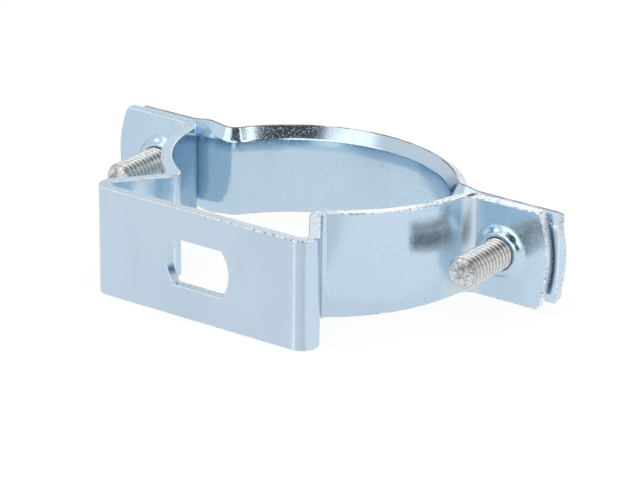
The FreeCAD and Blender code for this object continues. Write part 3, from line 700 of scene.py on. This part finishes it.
class CLAMP_OT_saddle(bpy.types.Operator):
    """Make the folded saddle with rolled-over edges and its plating"""

    bl_idname = "clamp.saddle"
    bl_label = "Saddle"

    def execute(self, context):
        shape = context.scene.clamp_shape
        near_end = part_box("saddle")[1].x - 3 * MM
        axes = screw_axes()
        plated, cut, rolled = range(3)
        bm = shaped_copy("saddle")
        soften_collars(bm, shape, axes)
        for face in bm.faces:
            middle = face.calc_center_median()
            on_collar = min(math.hypot(middle.x - x, middle.z) for x in axes) < shape.collar_spread
            along_pipe = abs(face.normal.z) > FACING_ALONG_PIPE and not on_collar
            ear_end = abs(middle.x) > near_end and abs(face.normal.x) > FACING_OUT
            face.material_index = cut if along_pipe or ear_end else plated
        for face in round_edges(bm, bm.edges, SHARP, shape.edge_round):
            face.material_index = rolled
        materials = finishes(plated_sheet, sheared_edge, rolled_edge)
        finished_piece("saddle_sheet", bm, materials, "saddle", "saddle")
        return {"FINISHED"}


# Strap
def strap_section(bm, strap, crown_y):
    """The loop of the strap's section at its crown, with round creases."""
    half = strap.width / 2
    web_half = strap.web_width / 2
    rise = math.tan(strap.flare)
    lip = ((half - web_half) * rise, half)
    back = (lip[0] + strap.thickness * math.cos(strap.flare), half - strap.thickness * math.sin(strap.flare))
    fold = (strap.thickness, web_half - strap.thickness * math.tan(strap.flare / 2))
    crease_z = web_half + strap.crease_shift
    crease = (lip[0] - (half - crease_z) * rise, crease_z)
    web = (crease[0] - strap.bow_reach * math.tan(strap.bow), crease_z - strap.bow_reach)
    upper = [web, crease, lip, back, fold]
    lower = [(depth, -z) for depth, z in reversed(upper)]
    corners = [bm.verts.new((0.0, crown_y + depth, z)) for depth, z in upper + lower]
    bm.faces.new(corners)
    for corner, offset in ((web, 0.8 * strap.bow_reach), (crease, strap.crease), (fold, 2 * strap.crease)):
        place = upper.index(corner)
        pair = [corners[place], corners[-1 - place]]
        bmesh.ops.bevel(bm, geom=pair, offset=offset, offset_type="OFFSET", segments=CREASE_STEPS,
                        profile=0.5, affect="VERTICES", clamp_overlap=False, material=-1)
    bmesh.ops.delete(bm, geom=list(bm.faces), context="FACES_ONLY")
    webs = [e for e in bm.edges if e.calc_length() > half]
    bmesh.ops.subdivide_edges(bm, edges=webs, cuts=WEB_CUTS)
    return list(bm.verts) + list(bm.edges)


def ear_start(strap):
    """How far from the strap's middle its bend ends and the flat ear begins."""
    turn = strap.bend + strap.thickness
    return math.sqrt((strap.radius + turn) ** 2 - (strap.sink + turn) ** 2)


def swept_strap(strap, ear_y, shift, reach):
    """A bmesh of the strap without its slots: its section carried along the arc, the bends and the ears."""
    turn = strap.bend + strap.thickness
    turn_x = ear_start(strap)
    turn_y = ear_y + turn
    centre_y = ear_y - strap.sink
    angle = math.atan2(turn_x, turn_y - centre_y)
    bm = bmesh.new()
    loop = strap_section(bm, strap, centre_y + strap.radius)
    loop = bmesh.ops.spin(bm, geom=loop, cent=(0.0, centre_y, 0.0), axis=(0.0, 0.0, -1.0),
                          angle=angle, steps=ARC_STEPS, use_merge=False)["geom_last"]
    loop = bmesh.ops.spin(bm, geom=loop, cent=(turn_x, turn_y, 0.0), axis=(0.0, 0.0, 1.0),
                          angle=angle, steps=BEND_STEPS, use_merge=False)["geom_last"]
    for step in range(EAR_STEPS):
        loop = bmesh.ops.extrude_edge_only(bm, edges=only(loop, bmesh.types.BMEdge))["geom"]
        share = (step + 1) / EAR_STEPS
        for vert in only(loop, bmesh.types.BMVert):
            end_x = reach - strap.end_radius + math.sqrt(strap.end_radius ** 2 - vert.co.z ** 2)
            vert.co.x = turn_x + (end_x - turn_x) * share
    cap = bmesh.ops.holes_fill(bm, edges=only(loop, bmesh.types.BMEdge), sides=0)["faces"]
    bmesh.ops.triangulate(bm, faces=cap, quad_method="BEAUTY", ngon_method="BEAUTY")
    bmesh.ops.mirror(bm, geom=list(bm.verts) + list(bm.edges) + list(bm.faces), matrix=Matrix.Identity(4),
                     merge_dist=JOIN, axis="X")
    bmesh.ops.translate(bm, verts=bm.verts, vec=(shift, 0.0, 0.0))
    bmesh.ops.recalc_face_normals(bm, faces=bm.faces)
    return bm


def swell_lips(bm, strap, ear_y):
    """Squeeze the turned edges out a little at the bends into the ears, as forming does."""
    for vert in bm.verts:
        lipped = max(0.0, abs(vert.co.z) - strap.web_width / 2) / (strap.width - strap.web_width) * 2
        for swell_x in SWELLS_X:
            away = math.hypot(vert.co.x - swell_x, vert.co.y - ear_y - SWELL_BEHIND) / SWELL_REACH
            vert.co.z += math.copysign(strap.bulge * min(lipped, 1.0) * math.exp(-away * away), vert.co.z)


def slot_cutter(x, y, strap):
    """A round-ended bar that cuts one slot."""
    nearly_half = 0.4999
    bm = bmesh.new()
    bmesh.ops.create_cube(bm, size=1.0)
    bmesh.ops.scale(bm, verts=bm.verts, vec=(strap.slot_length, 6 * strap.thickness, strap.slot_width))
    upright = [e for e in bm.edges if abs(e.verts[0].co.y - e.verts[1].co.y) > strap.thickness]
    bmesh.ops.bevel(bm, geom=upright, offset=strap.slot_width * nearly_half, offset_type="OFFSET",
                    segments=SLOT_STEPS, profile=0.5, affect="EDGES", clamp_overlap=False, material=-1)
    bmesh.ops.translate(bm, verts=bm.verts, vec=(x, y, 0.0))
    return new_object("slot_cutter", bm)


def cut_slots(bm, cutters):
    """A bmesh with the cutters' shapes taken out of another, which is used up with the cutters."""
    blank = new_object("uncut", bm)
    for cutter in cutters:
        cut = blank.modifiers.new("slot", "BOOLEAN")
        cut.operation = "DIFFERENCE"
        cut.solver = "EXACT"
        cut.object = cutter
    graph = bpy.context.evaluated_depsgraph_get()
    result = bpy.data.meshes.new_from_object(blank.evaluated_get(graph))
    if len(result.polygons) <= len(blank.data.polygons):
        raise RuntimeError("the slots were not cut out of the strap")
    slotted = bmesh.new()
    slotted.from_mesh(result)
    for item in [blank] + cutters:
        bpy.data.objects.remove(item)
    bpy.data.meshes.remove(result)
    return slotted


def clear_of_slots(vert, strap, spots):
    """Whether a point of the strap lies clear of the round ends of its slots."""
    margin = strap.slot_length / 2 + 0.1 * MM
    return abs(vert.co.z) > margin / 2 or min(abs(vert.co.x - x) for x in spots) > margin


class CLAMP_OT_strap(bpy.types.Operator):
    """Make the flared strap with its plating"""

    bl_idname = "clamp.strap"
    bl_label = "Strap"

    # Places of the strap's materials, in the order in which the piece gets them
    PLATED, CUT, SEAT, LIP = range(4)

    def execute(self, context):
        strap = context.scene.clamp_strap
        low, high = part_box("strap")
        shift = (low.x + high.x) / 2
        reach = (high.x - low.x) / 2
        spots = [x + shift for x in screw_axes()]
        bm = swept_strap(strap, low.y, shift, reach)
        swell_lips(bm, strap, low.y)
        bm = cut_slots(bm, [slot_cutter(x, low.y, strap) for x in spots])
        self.mark_faces(bm, strap, shift, reach)
        rims = [e for e in bm.edges if all(clear_of_slots(v, strap, spots) for v in e.verts)]
        self.roll_rims(bm, rims, context.scene.clamp_shape, strap, shift, reach)
        materials = finishes(plated_sheet, sheared_edge, ear_plating_with_seat_shade, lip_edge)
        finished_piece("strap_sheet", bm, materials, "strap", "strap")
        return {"FINISHED"}

    def mark_faces(self, bm, strap, shift, reach):
        """Give the cut faces, and the ears' faces that press on the saddle, their materials."""
        on_curve = 0.15 * MM
        for face in bm.faces:
            middle = face.calc_center_median()
            out = abs(middle.x - shift)
            past_curve = math.hypot(out - reach + strap.end_radius, middle.z) - strap.end_radius
            ear_end = abs(past_curve) < on_curve and abs(face.normal.x) > FACING_OUT
            along_pipe = abs(face.normal.z) > FACING_ALONG_PIPE
            face.material_index = self.CUT if along_pipe or ear_end else self.PLATED
            if face.normal.y < -FACING_SEAT and out > ear_start(strap):
                face.material_index = self.SEAT

    def roll_rims(self, bm, rims, shape, strap, shift, reach):
        """Round the sharp rims: cut metal at the ears' ends and worn metal along the lips."""
        near_end = reach - 4 * MM
        inside_lips = strap.width / 2 - 1 * MM
        for face in round_edges(bm, rims, SHARP_ON_STRAP, shape.edge_round):
            middle = face.calc_center_median()
            ear_end = abs(middle.x - shift) > near_end and abs(middle.z) < inside_lips
            face.material_index = self.CUT if ear_end else self.LIP


# Screws
def threaded_shank(axis_x, tip_y, seat_y, radius, shape):
    """A bmesh of a rolled thread that runs along Y from a bevelled tip to just inside the head."""
    pitch = shape.thread_pitch
    root = radius - shape.thread_depth
    start = tip_y - 2 * pitch
    end = seat_y + shape.screw_sunk
    turns = math.ceil((end - start) / pitch) + 1
    bm = bmesh.new()
    chain = [bm.verts.new((axis_x + root + rise * shape.thread_depth, start + (turn + share) * pitch, 0.0))
             for turn in range(turns) for share, rise in THREAD_PROFILE]
    edges = [bm.edges.new(pair) for pair in zip(chain, chain[1:])]
    bmesh.ops.spin(bm, geom=chain + edges, cent=(axis_x, 0.0, 0.0), axis=(0.0, 1.0, 0.0), angle=math.tau,
                   dvec=(0.0, pitch / THREAD_STEPS, 0.0), steps=THREAD_STEPS, use_merge=False)
    bmesh.ops.remove_doubles(bm, verts=bm.verts, dist=JOIN)
    for level, cut_away in ((tip_y, {"clear_inner": True}), (end, {"clear_outer": True})):
        geom = list(bm.verts) + list(bm.edges) + list(bm.faces)
        cut = bmesh.ops.bisect_plane(bm, geom=geom, dist=0.1 * JOIN, plane_co=(0.0, level, 0.0),
                                     plane_no=(0.0, 1.0, 0.0), **cut_away)
        bmesh.ops.holes_fill(bm, edges=only(cut["geom_cut"], bmesh.types.BMEdge), sides=0)
    for vert in bm.verts:
        limit = radius - shape.tip_bevel + vert.co.y - tip_y
        reach = math.hypot(vert.co.x - axis_x, vert.co.z)
        if reach > limit:
            vert.co.x = axis_x + (vert.co.x - axis_x) * limit / reach
            vert.co.z *= limit / reach
    bmesh.ops.recalc_face_normals(bm, faces=bm.faces)
    return bm


def join(bm, other):
    """Add the faces of another bmesh, which is used up."""
    mesh = bpy.data.meshes.new("joined")
    other.to_mesh(mesh)
    other.free()
    bm.from_mesh(mesh)
    bpy.data.meshes.remove(mesh)


class CLAMP_OT_screws(bpy.types.Operator):
    """Make both screws with a rolled thread and a slotted head"""

    bl_idname = "clamp.screws"
    bl_label = "Screws"

    def execute(self, context):
        shape = context.scene.clamp_shape
        for node, axis_x in zip(SCREWS, screw_axes()):
            tip_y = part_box(node)[0].y
            seat_y = tip_y + shape.screw_length
            bm = shaped_copy(node)
            shank = [v for v in bm.verts if v.co.y < seat_y - TOUCH]
            radius = max(math.hypot(v.co.x - axis_x, v.co.z) for v in shank)
            bmesh.ops.delete(bm, geom=shank, context="VERTS")
            bmesh.ops.holes_fill(bm, edges=[e for e in bm.edges if e.is_boundary], sides=0)
            round_edges(bm, bm.edges, SHARP, shape.head_round)
            join(bm, threaded_shank(axis_x, tip_y, seat_y, radius, shape))
            finished_piece(node + "_rolled", bm, finishes(rolled_screw), node, node)
        return {"FINISHED"}


# Stage
def patchwork(bearing, height, patches):
    """The patches of the light tent added up. A span that ends before it starts goes round the back."""
    total = 0.0
    for strength, (start, end, soft), rise in patches.values():
        if start < end:
            span = bearing.inside(start, end, soft)
        else:
            span = 1.0 - bearing.inside(end, start, soft)
        total = total + strength * span * height.inside(*rise)
    return total


class CLAMP_OT_stage(bpy.types.Operator):
    """Make the pale floor, the soft light and the camera"""

    bl_idname = "clamp.stage"
    bl_label = "Stage"

    def execute(self, context):
        stage = context.scene.clamp_stage
        context.scene.view_settings.view_transform = "Standard"
        self.floor(stage)
        self.sky(context, stage)
        self.camera(context, stage)
        return {"FINISHED"}

    def floor(self, stage):
        """A white floor with the part's shadow, and with soft patches where the metal mirrors it."""
        material = bpy.data.materials.new("pale_floor")
        nodes = Nodes(material)
        kinds = ("Is Camera Ray", "Is Glossy Ray", "Is Transmission Ray")
        direct, glossy, through = (nodes.add("ShaderNodeLightPath", output=kind) for kind in kinds)
        mirrored = glossy.most(through)
        seen = (direct * stage.floor_glow).most(mirrored * stage.mirror_glow)
        x, y = nodes.along(nodes.place(), "XY")
        out = x - stage.sheen_place[0]
        ahead = stage.sheen_place[1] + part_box("saddle")[0].y - y
        bearing = out.bearing(ahead)
        near = out.reach(ahead).until(90 * MM, 140 * MM)
        sheen = 0.0
        for strength, span in FLOOR_SHEEN:
            sheen = sheen + strength * bearing.inside(*span)
        level = 1.0 + sheen * near * mirrored
        white = nodes.add("ShaderNodeVectorMath", {"operation": "SCALE"},
                          {0: tuple(stage.floor), "Scale": level})
        paint = nodes.add("ShaderNodeBsdfDiffuse", inputs={"Color": colour(stage.floor)})
        glow = nodes.add("ShaderNodeEmission", inputs={"Color": white, "Strength": 1.0})
        shown = nodes.add("ShaderNodeMixShader", inputs={0: seen, 1: paint, 2: glow})
        nodes.add("ShaderNodeOutputMaterial", inputs={"Surface": shown})
        bm = bmesh.new()
        bmesh.ops.create_grid(bm, x_segments=1, y_segments=1, size=stage.floor_size)
        bmesh.ops.translate(bm, verts=bm.verts, vec=(0.0, 0.0, CAD_BOX[0].z))
        floor = new_object("floor", bm)
        floor.data.materials.append(material)

    def sky(self, context, stage):
        """A white tent: soft boxes in front and behind, and the dark opening above the camera."""
        world = bpy.data.worlds.new("studio")
        context.scene.world = world
        nodes = Nodes(world)
        x, y, z = nodes.along(nodes.add("ShaderNodeTexCoord", output="Generated"), "XYZ")
        bearing = x.bearing(0.0 - y)
        light = stage.sky + patchwork(bearing, z, SOFT_BOXES) + stage.top * z.between(0.86, 0.95)
        level = light * (1.0 - patchwork(bearing, z, DARK_GAPS))
        glow = nodes.add("ShaderNodeBackground", inputs={"Color": (1.0, 1.0, 1.0, 1.0), "Strength": level})
        nodes.add("ShaderNodeOutputWorld", inputs={"Surface": glow})

    def camera(self, context, stage):
        """The camera at the photograph's viewing angle."""
        data = bpy.data.cameras.new("camera")
        data.lens = stage.lens
        data.sensor_width = stage.sensor
        data.clip_start = 10 * MM
        camera = bpy.data.objects.new("camera", data)
        context.scene.collection.objects.link(camera)
        eye = Vector(stage.eye)
        turn = (Vector(stage.aim) - eye).to_track_quat("-Z", "Y").to_matrix()
        turn = turn @ Matrix.Rotation(stage.roll, 3, "Z")
        camera.matrix_world = Matrix.Translation(eye) @ turn.to_4x4()
        context.scene.camera = camera


# Sidebar and registration
class CLAMP_PT_looks(bpy.types.Panel):
    """Sizes and finishes of the clamp, and a button for each of its pieces"""

    bl_idname = "CLAMP_PT_looks"
    bl_label = "Spacer clamp"
    bl_space_type = "VIEW_3D"
    bl_region_type = "UI"
    bl_category = "Clamp"

    def draw(self, context):
        scene = context.scene
        for group in (scene.clamp_shape, scene.clamp_strap, scene.clamp_finish, scene.clamp_stage):
            box = self.layout.box()
            for name in group.__annotations__:
                box.prop(group, name)
        for operator in OPERATORS:
            self.layout.operator(operator.bl_idname)


GROUPS = (ClampShape, StrapShape, ClampFinish, ClampStage)
OPERATORS = (CLAMP_OT_saddle, CLAMP_OT_strap, CLAMP_OT_screws, CLAMP_OT_stage)


def register():
    for item in GROUPS + OPERATORS + (CLAMP_PT_looks,):
        bpy.utils.register_class(item)
    bpy.types.Scene.clamp_shape = bpy.props.PointerProperty(type=ClampShape)
    bpy.types.Scene.clamp_strap = bpy.props.PointerProperty(type=StrapShape)
    bpy.types.Scene.clamp_finish = bpy.props.PointerProperty(type=ClampFinish)
    bpy.types.Scene.clamp_stage = bpy.props.PointerProperty(type=ClampStage)


def unregister():
    del bpy.types.Scene.clamp_stage
    del bpy.types.Scene.clamp_finish
    del bpy.types.Scene.clamp_strap
    del bpy.types.Scene.clamp_shape
    for item in reversed(GROUPS + OPERATORS + (CLAMP_PT_looks,)):
        bpy.utils.unregister_class(item)


def main():
    register()
    bpy.ops.clamp.saddle()
    bpy.ops.clamp.strap()
    bpy.ops.clamp.screws()
    bpy.ops.clamp.stage()


if __name__ == "__main__":
    main()
